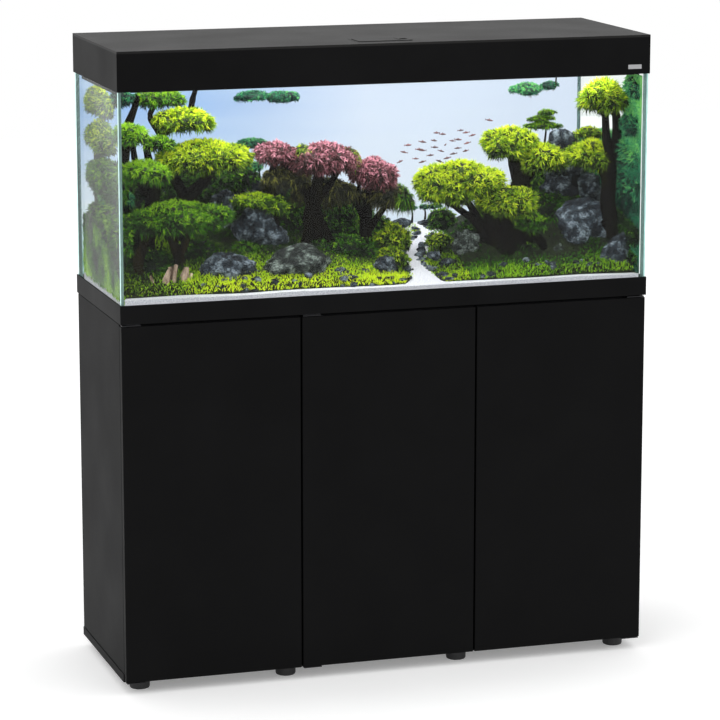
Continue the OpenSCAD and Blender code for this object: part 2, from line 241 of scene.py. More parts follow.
def foliage(name, shade, mid, tip, glow=0.12, rough=0.5):
    """Leaves coloured by the tint and painted shading stored on each strand, broken up by two noises, and made to
    glow with that colour as painted light.
    """
    t = Tree(name)
    tint_and_shading = t.add("Attribute", attribute_name="tint_and_shading").outputs["Fac"]
    patch = t.noise(28, 3, 0.5)
    fac = t.math("ADD", tint_and_shading, t.math("MULTIPLY", t.math("SUBTRACT", patch, 0.5), 0.7))
    # The ramp runs from the painted shade colour (shade) to the painted light colour (tip); the emission below is
    # painted glow, since leaves are no lamp.
    c = t.ramp(fac, [(0.05, shade), (0.5, mid), (0.95, tip)])
    p = t.principled(c, rough, t.noise(700, 3), 0.2, 0.0004, Specular_IOR_Level=0.25,
                     Emission_Color=c, Emission_Strength=glow)
    leaf = t.add("BsdfTranslucent")
    t.link(c, leaf.inputs["Color"])
    both = t.add("MixShader")
    both.inputs[0].default_value = 0.3
    t.link(p.outputs[0], both.inputs[1])
    t.link(leaf.outputs[0], both.inputs[2])
    return t.done(both)


def stone(name, dark, mid, light, scale=42):
    t = Tree(name)
    big = t.noise(scale, 9, 0.72)
    crack_shade = t.voronoi(scale * 1.1, "DISTANCE_TO_EDGE", t.mapped((1, 1, 1.8)))
    groove_shade = t.noise(scale * 3, 5, 0.7, t.mapped((1, 1, 2.2)))
    # Partly tone, partly painted light and shade: raised patches lighter as painted highlight, the grooves of the
    # bump darker and the cracks near black as painted shade.
    c = t.ramp(big, [(0.4, dark), (0.5, mid), (0.62, light)])
    c = t.mix(t.span(groove_shade, 0.75, 0.0, 0.38, 0.52), c, dark)
    c = t.mix(t.span(crack_shade, 0.8, 0.0, 0.0, 0.05), c, tuple(v * 0.3 for v in dark))
    h = t.math("ADD", big, t.math("MULTIPLY", groove_shade, 0.5))
    return t.done(t.principled(c, t.span(big, 0.85, 0.55), h, 1.0, 0.009, Specular_IOR_Level=0.25))


def bark(name, dark, mid, moss):
    t = Tree(name)
    grain = t.noise(60, 4, 0.55, t.mapped((1, 1, 0.22)))
    c = t.ramp(grain, [(0.35, dark), (0.62, mid), (0.8, moss)])
    return t.done(t.principled(c, 0.9, grain, 0.35, 0.001, Specular_IOR_Level=0.03))


def sky_film():
    """Pale blue backdrop, lighter to the right and at the horizon, with faint level clouds; its colour is painted
    glow rather than lit.
    """
    t = Tree("backdrop_sky")
    split = t.add("SeparateXYZ")
    t.link(t.coord, split.inputs[0])
    cloud = t.noise(4, 4, 0.5, t.mapped((0.7, 1, 7)))
    z = t.math("ADD", t.span(split.outputs["Z"], 0, 1, 0.9, 1.32),
               t.math("MULTIPLY", t.math("SUBTRACT", cloud, 0.5), 0.35))
    c = t.ramp(z, [(0.0, (0.2, 0.42, 0.38)), (0.14, (0.6, 0.82, 0.88)), (0.3, (0.8, 0.89, 0.97)),
                   (0.55, (0.55, 0.7, 0.94)), (0.8, (0.37, 0.55, 0.9)), (1.0, (0.5, 0.66, 0.92))])
    side = t.span(split.outputs["X"], 0.0, 0.85, -0.34, 0.08)
    c = t.mix(side, c, (0.8, 0.85, 0.98))
    # Base colour darkened almost to black: the film's colour comes from emission, painted light.
    base = t.mix(0.93, c, (0.0, 0.0, 0.0))
    return t.done(t.principled(base, 0.6, cloud, 0.02, 0.0002, Emission_Color=c, Emission_Strength=0.93,
                               Specular_IOR_Level=0.1))


def sand_grains():
    t = Tree("sand_pale")
    fine = t.noise(1100, 2, 0.6)
    c = t.ramp(fine, [(0.36, (0.3, 0.31, 0.37)), (0.55, (0.6, 0.59, 0.63)), (0.7, (0.72, 0.7, 0.72))])
    # The emission is painted light that brightens the sand.
    return t.done(t.principled(c, 0.85, fine, 0.8, 0.0006, Emission_Color=c, Emission_Strength=0.55))


def lamp_tube():
    t = Tree("lamp_tube_milky")
    c = t.ramp(t.noise(12, 2), [(0.3, (0.9, 0.95, 1.0)), (0.7, (1.0, 1.0, 1.0))])
    return t.done(t.principled(c, 0.3, Emission_Color=c, Emission_Strength=1.5))


MAT = {
    "door": grained("door_black_satin", (0.0022, 0.0022, 0.0024), (0.004, 0.004, 0.0042), 420, (0.5, 0.62),
                    0.1, spec=0.06),
    "board": grained("cabinet_black_board", (0.005, 0.005, 0.0052), (0.009, 0.009, 0.0094), 380,
                     (0.5, 0.65), 0.12, spec=0.045),
    "frame": grained("frame_black_plastic", (0.0035, 0.0035, 0.0037), (0.006, 0.006, 0.0063), 600,
                     (0.42, 0.55), 0.12, spec=0.04),
    "lid_top": grained("lid_top_grained", (0.009, 0.009, 0.0092), (0.02, 0.0195, 0.019), 520, (0.4, 0.52),
                       0.35, spec=0.06),
    "foot": grained("foot_grey_plastic", (0.014, 0.014, 0.015), (0.03, 0.03, 0.031), 500, (0.45, 0.6), 0.2,
                    spec=0.3),
    "rubber": grained("black_foam_rubber", (0.012, 0.012, 0.012), (0.03, 0.03, 0.03), 900, (0.7, 0.9), 0.5,
                      spec=0.2),
    "equip": grained("equipment_black", (0.008, 0.009, 0.01), (0.016, 0.017, 0.018), 500, (0.35, 0.5), 0.15,
                     spec=0.3),
    "seam": grained("seam_clear_grey", (0.1, 0.16, 0.15), (0.2, 0.3, 0.28), 200, (0.25, 0.4), 0.05, spec=0.4),
    # Nylon bushes and plungers and the steel pins, brackets and strikes are painted near black as shade inside the
    # cabinet and in the gaps round the doors.
    "nylon": grained("nylon_dark_as_shade", (0.008, 0.008, 0.008), (0.015, 0.015, 0.015), 500, (0.35, 0.5), 0.1),
    "beech": grained("beech_dowel", (0.4, 0.27, 0.15), (0.6, 0.45, 0.28), 90, (0.5, 0.7), 0.3, (1, 1, 0.15)),
    "steel": metal("steel_dark_as_shade", (0.03, 0.03, 0.032)),
    "badge": metal("badge_plain", (0.42, 0.42, 0.43), (0.35, 0.45)),
    "film": sky_film(),
    "lamp": lamp_tube(),
    "pane_y": glass_pane("glass_pane_front", "Y"),
    "pane_x": glass_pane("glass_pane_left", "X", 0.05),
    "pane_r": glass_pane("glass_pane_right", "X", 0.03),
    "pane_z": glass_pane("glass_pane_bottom", "Z"),
    "moss": foliage("moss_yellow_green", (0.002, 0.01, 0.001), (0.17, 0.33, 0.006), (0.72, 0.8, 0.03), 0.2),
    "moss_deep": foliage("moss_deep_green", (0.001, 0.006, 0.001), (0.05, 0.2, 0.004), (0.34, 0.6, 0.02),
                         0.14),
    "moss_teal": foliage("moss_distant_teal", (0.001, 0.014, 0.011), (0.03, 0.25, 0.12), (0.2, 0.55, 0.14),
                         0.2),
    "carpet": foliage("carpet_lime", (0.006, 0.03, 0.002), (0.24, 0.46, 0.008), (0.72, 0.85, 0.03), 0.2),
    "red": foliage("red_bush_leaves", (0.02, 0.008, 0.006), (0.19, 0.055, 0.07), (0.78, 0.36, 0.44), 0.18),
    "olive": foliage("olive_leaves", (0.006, 0.008, 0.002), (0.12, 0.12, 0.02), (0.4, 0.38, 0.07), 0.1),
    "rock": stone("rock_blue_grey", (0.003, 0.005, 0.008), (0.04, 0.055, 0.075), (0.36, 0.43, 0.5)),
    "rock_warm": stone("rock_green_grey", (0.003, 0.005, 0.004), (0.04, 0.05, 0.045), (0.34, 0.4, 0.36)),
    "bark": bark("wood_black", (0.0006, 0.0005, 0.0004), (0.004, 0.003, 0.0015), (0.018, 0.02, 0.004)),
    "bark_brown": bark("wood_brown", (0.003, 0.002, 0.001), (0.022, 0.016, 0.007), (0.06, 0.06, 0.012)),
    "stump": bark("wood_stump", (0.1, 0.06, 0.04), (0.75, 0.55, 0.43), (1.0, 0.84, 0.72)),
    "sand": sand_grains(),
    "fish": grained("fish_silver_red", (0.03, 0.035, 0.05), (0.2, 0.07, 0.07), 120, (0.3, 0.45), 0.1),
    "soil": stone("soil_dark", (0.004, 0.007, 0.002), (0.012, 0.02, 0.004), (0.035, 0.055, 0.01), 60),
}

CAD_MATERIALS = {
    "door": ["left_door_panel", "middle_door_panel", "right_door_panel"],
    "board": ["bottom_panel", "top_panel", "left_side_panel", "right_side_panel", "left_divider",
              "right_divider", "back_panel", "shelves"],
    "frame": ["base_frame_front", "base_frame_rear", "base_frame_sides", "lid_front_wall", "lid_rear_wall",
              "lid_side_walls", "lid_locators", "led_sockets", "hatch_rim", "latch_housings"],
    "lid_top": ["lid_top_panel", "hatch_flap"],
    "foot": ["feet"],
    "rubber": ["underlay_mat", "suction_cups"],
    "equip": ["heater_tube", "heater_knob", "filter_body", "filter_nozzle"],
    "seam": ["silicone_seams"],
    "nylon": [k + s for k in ("left", "middle", "right") for s in ("_door_bushes", "_latch_plunger")],
    "beech": ["wood_dowels"],
    "steel": ["shelf_pins", "hinge_brackets", "hinge_pins", "hatch_pin", "left_latch_strike",
              "middle_latch_strike", "right_latch_strike"],
    "badge": ["lid_badge"],
    "film": ["background_film"],
    "lamp": ["led_tube_front", "led_tube_rear"],
    "pane_y": ["glass_front", "glass_back"],
    "pane_x": ["glass_left"],
    "pane_r": ["glass_right"],
    "pane_z": ["glass_bottom"],
}
for key, members in CAD_MATERIALS.items():
    for n in members:
        mesh = nodes[n].data
        mesh.materials.clear()
        mesh.materials.append(MAT[key])

# ------------------------------------------------------------------ mesh helpers


def waves(p, seed, freq, octaves=3, count=5):
    """Smooth seeded noise from summed sine waves, about -1 to 1, for an array of points."""
    rng = np.random.default_rng(seed)
    out = np.zeros(len(p))
    amp, total = 1.0, 0.0
    for o in range(octaves):
        for _ in range(count):
            k = rng.normal(size=3)
            k *= freq * 2**o * rng.uniform(0.7, 1.3) / np.linalg.norm(k)
            out += amp * np.sin(p @ k + rng.uniform(0, 6.28))
        total += amp * math.sqrt(count)
        amp *= 0.5
    return out / total


class Build:
    """Collects vertices, faces, a tint and painted shading value per vertex and a material number per face."""

    def __init__(self):
        self.v, self.f, self.t, self.m, self.n = [], [], [], [], 0

    def put(self, verts, faces, tint_and_shading, slot=0):
        verts = np.clip(np.asarray(verts, float), INNER_LOW, INNER_HIGH)
        self.v.append(verts)
        self.t.append(np.broadcast_to(np.asarray(tint_and_shading, float), (len(verts),)))
        for block in faces:
            block = np.asarray(block) + self.n
            self.f.extend(block.tolist())
            self.m.extend([slot] * len(block))
        self.n += len(verts)

    def make(self, name, materials, body=TANK):
        mesh = bpy.data.meshes.new(name)
        v = np.concatenate(self.v)
        mesh.from_pydata(v.tolist(), [], self.f)
        attr = mesh.attributes.new("tint_and_shading", "FLOAT", "POINT")
        attr.data.foreach_set("value", np.concatenate(self.t).astype(np.float32))
        mesh.polygons.foreach_set("material_index", self.m)
        mesh.polygons.foreach_set("use_smooth", [True] * len(self.f))
        for key in materials:
            mesh.materials.append(MAT[key])
        mesh.update()
        ob = bpy.data.objects.new(name, mesh)
        scene.collection.objects.link(ob)
        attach(ob, body)
        return ob


def stands_for(piece, node):
    """The piece replaces a plain CAD solid, which is hidden."""
    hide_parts(node)


def unit(a):
    return a / np.maximum(np.linalg.norm(a, axis=-1, keepdims=True), 1e-9)


def grid_faces(rows, cols, wrap):
    """Quads of a grid of rows x cols points, closed round in the column direction if wrap."""
    i, j = np.meshgrid(np.arange(rows - 1), np.arange(cols if wrap else cols - 1), indexing="ij")
    k = (j + 1) % cols
    return np.stack([i * cols + j, i * cols + k, (i + 1) * cols + k, (i + 1) * cols + j], -1).reshape(-1, 4)


def ball(rows=12, cols=18):
    """Unit sphere points with quads, closed at both ends by small rings."""
    th = np.linspace(0.02, math.pi - 0.02, rows)
    ph = np.linspace(0, 2 * math.pi, cols, endpoint=False)
    a, b = np.meshgrid(th, ph, indexing="ij")
    p = np.stack([np.sin(a) * np.cos(b), np.sin(a) * np.sin(b), np.cos(a)], -1).reshape(-1, 3)
    ends = [list(range(cols - 1, -1, -1)), list(range((rows - 1) * cols, rows * cols))]
    return p, grid_faces(rows, cols, True), ends


def put_ball(b, c, r, tint_and_shading, slot=0, rough=0.08, seed=0, rows=12, cols=18):
    p, quads, caps = ball(rows, cols)
    q = p * (1 + rough * waves(p * 3, seed, 1.6)[:, None]) * np.asarray(r) + np.asarray(c)
    b.put(q, [quads[:, ::-1]], tint_and_shading, slot)
    base = b.n - len(q)
    for cap in caps:
        b.f.append([base + i for i in cap[::-1]])
        b.m.append(slot)


def strands(b, p, d, length, width, droop, tint_and_shading, rng, slot=0):
    """Narrow curved leaves from points p along directions d."""
    n = len(p)
    side = unit(np.cross(d, unit(rng.normal(size=(n, 3)))))
    length = np.broadcast_to(length, n)[:, None]
    droop = np.broadcast_to(droop, n)[:, None]
    w = width * rng.uniform(0.6, 1.2, (n, 1))
    fall = np.array([0, 0, -1.0])
    mid = p + d * length * 0.55 + fall * length * droop * 0.25
    tip = p + d * length + fall * length * droop
    v = np.stack([p - side * w * 0.3, p + side * w * 0.3, mid + side * w * 0.5, mid - side * w * 0.5, tip], 1)
    k = np.arange(n)[:, None] * 5
    # Painted shade at each strand's base and a painted highlight at its tip.
    t = np.stack([tint_and_shading - 0.22, tint_and_shading - 0.22, tint_and_shading, tint_and_shading, tint_and_shading + 0.15], 1)
    b.put(v.reshape(-1, 3), [k + np.array([0, 1, 2, 3]), k + np.array([3, 2, 4])], t.reshape(-1), slot)


def lobes_of(c, r, count, rng):
    """Overlapping round pads that together fill a flat dome."""
    c, r = np.asarray(c), np.asarray(r)
    out = [(c, r * np.array([0.72, 0.72, 0.8]))]
    for i in range(count):
        a = 2 * math.pi * (i + rng.uniform(-0.3, 0.3)) / count
        s = rng.uniform(0.45, 0.66)
        off = np.array([math.cos(a), math.sin(a), 0]) * r * rng.uniform(0.5, 0.62)
        off[2] = r[2] * rng.uniform(-0.35, 0.1)
        out.append((c + off, r * s * np.array([1, 1, rng.uniform(0.8, 1.1)])))
    return out


def canopy(b, c, r, seed, leaf=0.014, width=0.0026, density=1.0, droop=0.22, bright=0.62, pads=7, rim=0.3):
    """A cloud of moss: rounded pads covered with tufts of fine strands, painted light above and painted shade
    below, round a dark core.
    """
    rng = np.random.default_rng(seed)
    pads = lobes_of(c, r, pads, rng)
    for i, (pc, pr) in enumerate(pads):
        # Dark core ball inside each pad: painted shade in the depth of the canopy.
        put_ball(b, pc, pr * 0.9, -0.05 + 0.14 * bright, rough=0.1, seed=seed + i, rows=9, cols=14)
        area = 4 * math.pi * (pr[0] * pr[1] + pr[0] * pr[2] + pr[1] * pr[2]) / 3
        n = max(30, int(area / 8e-6 * density))
        u = unit(rng.normal(size=(n, 3)))
        u = u[u[:, 2] > -0.8]
        tuft = unit(rng.normal(size=(max(8, n // 9), 3)))
        near = np.argmax(u @ tuft.T, 1)
        u = unit(u * 0.62 + tuft[near] * 0.38)
        p = pc + u * pr * 0.93
        keep = np.ones(len(p), bool)
        for j, (qc, qr) in enumerate(pads):
            if j != i:
                keep &= (((p - qc) / (qr * 0.86)) ** 2).sum(1) > 1
        lean = unit(rng.normal(size=tuft.shape))[near][keep]
        shade = (rng.normal(size=len(tuft)) * 0.2)[near][keep]
        p, u = p[keep], u[keep]
        normal = unit(u / pr)
        out = unit((p - np.asarray(c)) * np.array([1, 1, 0.2]) + 1e-6)
        d = unit(normal * 0.4 + out * 0.12 + lean * 0.5 + rng.normal(size=p.shape) * 0.48)
        low = np.clip(-normal[:, 2], 0, 1)
        high = np.clip((p[:, 2] - (c[2] - r[2])) / (2 * r[2]), 0, 1)
        ln = 0.66 * leaf * rng.uniform(0.55, 1.4, len(p)) * (1 + rim * (1 - high))
        # Painted light and shade: higher strands lighter, downward-facing strands darker; bright scales the painted
        # light, the rest is random tone.
        tint_and_shading = bright * (0.02 + 1.15 * high**0.75) - 0.3 * low + shade + rng.normal(size=len(p)) * 0.17
        strands(b, p, d, ln, width, droop * (0.4 + (1 - high)), np.clip(tint_and_shading, 0.0, 1.1), rng)


def tube(b, points, radii, seed=0, slot=0, cols=10, steps=7, rough=0.16, tint_and_shading=0.4):
    """A gnarled branch: a tapered tube along a smooth path with ridged bark."""
    pts = np.asarray(points, float)
    s = np.linspace(0, len(pts) - 1, (len(pts) - 1) * steps + 1)
    path = np.stack([np.interp(s, range(len(pts)), pts[:, i]) for i in range(3)], 1)
    for _ in range(3):
        path[1:-1] = (path[:-2] + path[1:-1] * 2 + path[2:]) / 4
    rad = np.interp(s, range(len(pts)), radii)
    rng = np.random.default_rng(seed)
    path[1:-1] += np.stack([waves(path[1:-1], seed + k, 25) for k in range(3)], 1) * rad[1:-1, None] * 0.45
    along = unit(np.gradient(path, axis=0))
    side = unit(np.cross(along, [0.31, 0.2, 0.93] if abs(along[0][2]) < 0.9 else [1, 0.1, 0]))
    up = np.cross(along, side)
    a = np.linspace(0, 2 * math.pi, cols, endpoint=False) + rng.uniform(0, 6)
    ring = side[:, None] * np.cos(a)[None, :, None] + up[:, None] * np.sin(a)[None, :, None]
    near = (path[:, None] + ring * 0.02).reshape(-1, 3)
    ridge = 1 + rough * np.sin(a * 4 + seed)[None, :] + rough * waves(near, seed, 60).reshape(ring.shape[:2])
    v = path[:, None] + ring * (rad[:, None] * ridge)[..., None]
    base = b.n
    b.put(v.reshape(-1, 3), [grid_faces(len(path), cols, True)], tint_and_shading, slot)
    b.f += [[base + i for i in range(cols - 1, -1, -1)],
            [base + (len(path) - 1) * cols + i for i in range(cols)]]
    b.m += [slot, slot]


def boulder(b, c, r, seed, slot=0, rows=34, cols=50, facets=17, tint_and_shading=0.5, bumps=0.1):
    """An angular stone: a ball cut by seeded planes, roughened and split by ridges."""
    rng = np.random.default_rng(seed)
    p, quads, caps = ball(rows, cols)
    n = unit(rng.normal(size=(facets, 3)))
    h = rng.uniform(0.6, 0.95, facets)
    dots = np.maximum(p @ n.T, 1e-3)
    rad = np.minimum((h / dots).min(1), 1.05)
    ridged = 1 - 2 * np.abs(waves(p * [1, 1, 1.5], seed + 9, 6, 3))
    rad *= 1 + bumps * waves(p, seed, 5, 5) + bumps * 0.9 * ridged
    q = p * rad[:, None] * np.asarray(r) + np.asarray(c)
    base = b.n
    b.put(q, [quads[:, ::-1]], tint_and_shading, slot)
    for cap in caps:
        b.f.append([base + i for i in cap[::-1]])
        b.m.append(slot)


# ------------------------------------------------------------------ ground

PATH_Y = [-0.2, -0.13, -0.09, -0.03, 0.01, 0.07, 0.11, 0.15, 0.2]
PATH_X = [0.085, 0.105, 0.109, 0.108, 0.124, 0.158, 0.189, 0.19, 0.19]
PATH_W = [0.06, 0.02, 0.014, 0.011, 0.01, 0.008, 0.006, 0.004, 0.003]


def path_gap(x, y):
    """Distance from the middle of the sand path, less its half width."""
    return np.abs(x - np.interp(y, PATH_Y, PATH_X)) - np.interp(y, PATH_Y, PATH_W)


def sand_height(x, y):
    t = np.clip((y + 0.17) / 0.34, 0, 1)
    p = np.stack([x, y, x * 0], -1).reshape(-1, 3)
    ripple = waves(p, 3, 30, 2).reshape(np.shape(x)) * 0.0012
    near = np.exp(-((x - np.interp(y, PATH_Y, PATH_X)) / 0.09) ** 2)
    wander = waves(p * [1, 0, 0], 31, 9, 3).reshape(np.shape(x)) * 0.002
    return 0.8732 + wander + 0.024 * t + 0.052 * near * t + ripple


def soil_height(x, y):
    p = np.stack([x, y, x * 0], -1).reshape(-1, 3)
    rough = waves(p, 8, 22, 3).reshape(np.shape(x)) * 0.006
    d = np.clip(y + 0.178 + waves(p * [1, 0, 0], 5, 18, 2).reshape(np.shape(x)) * 0.006, 0, 1)
    away = 1 - np.exp(-((np.clip(path_gap(x, y), 0, 1) / 0.11) ** 1.3))
    rise = 1 - np.exp(-d / 0.13)
    high = 0.02 + 0.085 * away + 0.03 * np.clip((np.abs(x) - 0.25) / 0.3, 0, 1)
    h = 0.8685 + 0.012 * np.clip(d / 0.012, 0, 1) + high * rise + rough * np.clip(d / 0.05, 0, 1)
    h = np.maximum(h, sand_height(x, y) + 0.004 * np.clip(d / 0.02, 0, 1) - 0.004)
    return np.where(path_gap(x, y) < 0, sand_height(x, y) - 0.006,
                    h - 0.006 * np.exp(-np.clip(path_gap(x, y), 0, 1) / 0.006))


def ground_sheet(name, height, keys, low, nx, ny, x1, y1):
    xs, ys = np.linspace(-x1, x1, nx), np.linspace(-y1, y1, ny)
    gx, gy = np.meshgrid(xs, ys, indexing="ij")
    top = np.stack([gx, gy, height(gx, gy)], -1).reshape(-1, 3)
    b = Build()
    quads = grid_faces(nx, ny, False)
    b.put(top, [quads[:, ::-1]], 0.5)
    ring = [i * ny for i in range(nx)] + [(nx - 1) * ny + j for j in range(1, ny)]
    ring += [i * ny + ny - 1 for i in range(nx - 2, -1, -1)] + [j for j in range(ny - 2, 0, -1)]
    down = top[ring].copy()
    down[:, 2] = low
    b.put(down, [], 0.5)
    m, base = len(ring), nx * ny
    for i in range(m):
        j = (i + 1) % m
        b.f.append([ring[i], ring[j], base + j, base + i])
    b.f.append([base + i for i in range(m - 1, -1, -1)])
    b.m += [0] * (m + 1)
    return b.make(name, keys)


def sand_with_low_ends(x, y):
    """The sand's surface, dropped to a thin strip against the two end panes."""
    return np.where(np.abs(x) > 0.59, 0.8735, sand_height(x, y))


sand = ground_sheet("sand_floor", sand_with_low_ends, ["sand"], 0.8552, 300, 90, 0.5905, 0.1985)
stands_for(sand, "sand_bed")
soil = ground_sheet("soil_slopes", soil_height, ["soil"], 0.8556, 330, 110, 0.589, 0.198)
stands_for(soil, "planted_slopes")

rng = np.random.default_rng(11)
b = Build()
n = 36000
x, y = rng.uniform(-0.588, 0.588, n), -0.178 + 0.37 * rng.uniform(0, 1, n) ** 1.7
gap = path_gap(x, y)
edge = y + 0.178 + waves(np.stack([x, x * 0, x * 0], -1), 5, 18, 2) * 0.006
clump = waves(np.stack([x, y, x * 0], -1), 21, 30, 3)
ok = (gap > 0.003) & (edge > 0.004) & (clump > -0.75)
x, y, gap, clump = x[ok], y[ok], gap[ok], clump[ok]
z = soil_height(x, y) - 0.001
d = unit(np.stack([rng.normal(size=len(x)) * 0.5, rng.normal(size=len(x)) * 0.5, np.ones(len(x))], -1))
# Painted shade: lime, the carpet's brightness, falls off towards the back at a rate set by x, is scaled down at
# both ends and raised along the sand path.
deep = np.interp(x, [-0.6, -0.42, -0.3, 0.08, 0.25, 0.45, 0.6], [19, 18, 9, 6, 17, 20, 20])
lime = np.clip(0.92 - deep * (y + 0.165), 0.0, 1) * np.interp(
    x, [-0.6, -0.45, -0.35, 0.1, 0.2, 0.6], [0.5, 0.6, 1, 1, 0.72, 0.75])
lime = np.maximum(lime, 0.62 * np.exp(-(np.clip(gap, 0, 1) / 0.05) ** 2))
tint_and_shading = np.clip(lime + 0.22 * clump + rng.normal(size=len(x)) * 0.14, 0.0, 1.1)
# On the right, dark strands are mostly dropped and the rest take the darker moss_deep colours, so the soil shows
# through as painted shade.
right = x > 0.2
lit = ~right | (tint_and_shading > 0.3) | (rng.uniform(size=len(x)) < 0.12)
x, y, z, d, clump, tint_and_shading, right = x[lit], y[lit], z[lit], d[lit], clump[lit], tint_and_shading[lit], right[lit]
for side, slot in ((~right, 0), (right, 1)):
    strands(b, np.stack([x, y, z], -1)[side], d[side],
            ((0.008 + 0.005 * clump.clip(-0.5, 1)) * rng.uniform(0.6, 1.5, len(x)))[side],
            0.0026, 0.15, tint_and_shading[side], rng, slot)
carpet = b.make("carpet_plants", ["carpet", "moss_deep"])
stands_for(carpet, "planted_slopes")

rng = np.random.default_rng(23)
b = Build()
for side in (-1, 1):
    n = 11000
    x, y = np.full(n, side * 0.5915), rng.uniform(-0.185, 0.192, n)
    top = soil_height(x, y)
    low = 0.873 + 0.003 * np.clip((y + 0.19) / 0.38, 0, 1)
    z = low + (top - low) * rng.uniform(0, 1, n)
    d = unit(np.stack([rng.normal(size=n) * 0.2, rng.normal(size=n), rng.normal(size=n) + 0.2], -1))
    patch = waves(np.stack([x, y, z], -1), 17, 45, 3)
    tint_and_shading = np.clip(0.3 + 0.5 * patch + 0.5 * np.exp(-(z - low) / 0.015) + rng.normal(size=n) * 0.12, 0, 1)
    strands(b, np.stack([x, y, z], -1), d, rng.uniform(0.006, 0.014, n), 0.0028, 0.1, tint_and_shading, rng)
stands_for(b.make("side_plants", ["moss_deep"]), "planted_slopes")

# ------------------------------------------------------------------ stones

STONES = [  # middle, half sizes, material
    ((-0.340, -0.120, 0.908), (0.082, 0.040, 0.050), "rock"),
    ((-0.415, -0.138, 0.890), (0.036, 0.022, 0.022), "rock"),
    ((-0.180, -0.112, 0.914), (0.104, 0.044, 0.054), "rock_warm"),
    ((-0.092, -0.132, 0.895), (0.025, 0.018, 0.018), "rock"),
    ((0.021, -0.112, 0.902), (0.036, 0.026, 0.032), "rock"),
    ((-0.035, -0.125, 0.892), (0.022, 0.016, 0.016), "rock"),
    ((0.224, -0.065, 0.935), (0.034, 0.026, 0.040), "rock_warm"),
    ((0.172, -0.100, 0.903), (0.024, 0.016, 0.014), "rock"),
    ((0.150, -0.070, 0.915), (0.020, 0.014, 0.014), "rock"),
    ((-0.318, 0.010, 1.035), (0.034, 0.026, 0.050), "rock"),
    ((-0.214, 0.100, 1.045), (0.058, 0.034, 0.052), "rock"),
    ((-0.150, 0.125, 1.040), (0.045, 0.030, 0.060), "rock"),
    ((-0.237, 0.000, 0.990), (0.062, 0.040, 0.060), "rock"),
    ((0.522, -0.072, 0.978), (0.092, 0.050, 0.058), "rock"),
    ((0.555, -0.148, 0.912), (0.042, 0.030, 0.058), "rock"),
    ((0.499, 0.060, 1.030), (0.056, 0.032, 0.040), "rock"),
    ((0.560, 0.020, 1.040), (0.030, 0.032, 0.044), "rock"),
    ((0.520, 0.085, 1.100), (0.068, 0.030, 0.070), "rock"),
    ((0.455, 0.150, 1.085), (0.040, 0.030, 0.070), "rock"),
    ((0.420, -0.115, 0.900), (0.026, 0.018, 0.045), "rock_warm"),
    ((0.235, 0.165, 0.952), (0.050, 0.018, 0.014), "rock"),
    ((0.150, 0.170, 0.952), (0.030, 0.016, 0.016), "rock"),
]
for i, (c, r, key) in enumerate(STONES):
    rng = np.random.default_rng(900 + i)
    b = Build()
    c, r = np.array(c), np.array(r)
    boulder(b, c, r * 0.86, 40 + i)
    for k in range(3):
        off = r * [rng.uniform(-0.55, 0.55), rng.uniform(-0.4, 0.1), rng.uniform(-0.45, 0.25)]
        boulder(b, c + off, r * rng.uniform(0.42, 0.6), 400 + 5 * i + k, rows=24, cols=34)
    stands_for(b.make("stone_%02d" % (i + 1), [key]), "rocks")

rng = np.random.default_rng(5)
b = Build()
PEBBLES, PEBBLES_BY_PATH = 150, 95
for i in range(PEBBLES):
    if i < PEBBLES_BY_PATH:
        py = rng.uniform(-0.17, 0.15)
        side = rng.choice([-1, 1])
        size = rng.uniform(0.003, 0.0085)
        off = np.interp(py, PATH_Y, PATH_W) + size * 0.8 + rng.uniform(0, 0.012)
        px = np.interp(py, PATH_Y, PATH_X) + side * off
    else:
        px = rng.uniform(-0.42, 0.55)
        py = rng.uniform(-0.172, -0.15)
        size = rng.uniform(0.003, 0.009)
        if abs(px - 0.085) < 0.06:
            continue
    pz = float(max(soil_height(np.array([px]), np.array([py]))[0],
                   sand_height(np.array([px]), np.array([py]))[0]))
    boulder(b, (px, py, pz + size * 0.25), (size * rng.uniform(1, 1.6), size, size * rng.uniform(0.6, 0.9)),
            300 + i, rows=9, cols=12, facets=9)
stands_for(b.make("path_pebbles", ["rock"]), "rocks")

# ------------------------------------------------------------------ wood


def wood(name, key, branches):
    b = Build()
    for i, (pts, rad) in enumerate(branches):
        tube(b, pts, rad, seed=len(name) * 7 + i)
    stands_for(b.make(name, [key]), "driftwood")


wood("left_tree_wood", "bark", [
    ([(-0.545, -0.10, 0.88), (-0.542, -0.10, 0.94), (-0.532, -0.095, 1.02)], [0.019, 0.013, 0.010]),
    ([(-0.500, -0.05, 0.89), (-0.505, -0.05, 0.99), (-0.490, -0.04, 1.10), (-0.500, -0.03, 1.19)],
     [0.020, 0.016, 0.013, 0.007]),
    ([(-0.425, -0.02, 0.90), (-0.430, -0.02, 1.00), (-0.400, -0.02, 1.07), (-0.345, -0.02, 1.13)],
     [0.034, 0.022, 0.015, 0.010]),
    ([(-0.400, -0.02, 1.05), (-0.445, -0.01, 1.13), (-0.455, 0.0, 1.20), (-0.425, 0.01, 1.235)],
     [0.014, 0.011, 0.009, 0.006]),
    ([(-0.450, 0.0, 1.19), (-0.480, 0.02, 1.24), (-0.455, 0.04, 1.27)], [0.009, 0.006, 0.005]),
    ([(-0.395, 0.0, 1.245), (-0.385, 0.01, 1.275), (-0.370, 0.02, 1.306)], [0.008, 0.006, 0.004]),
    ([(-0.540, 0.03, 0.93), (-0.545, 0.03, 1.10), (-0.530, 0.03, 1.22), (-0.500, 0.03, 1.285)],
     [0.018, 0.013, 0.009, 0.005]),
    ([(-0.470, 0.03, 0.93), (-0.475, 0.03, 1.03), (-0.460, 0.02, 1.12)], [0.022, 0.016, 0.012]),
    ([(-0.505, -0.04, 1.08), (-0.525, -0.06, 1.12), (-0.540, -0.07, 1.20)], [0.011, 0.008, 0.005]),
])
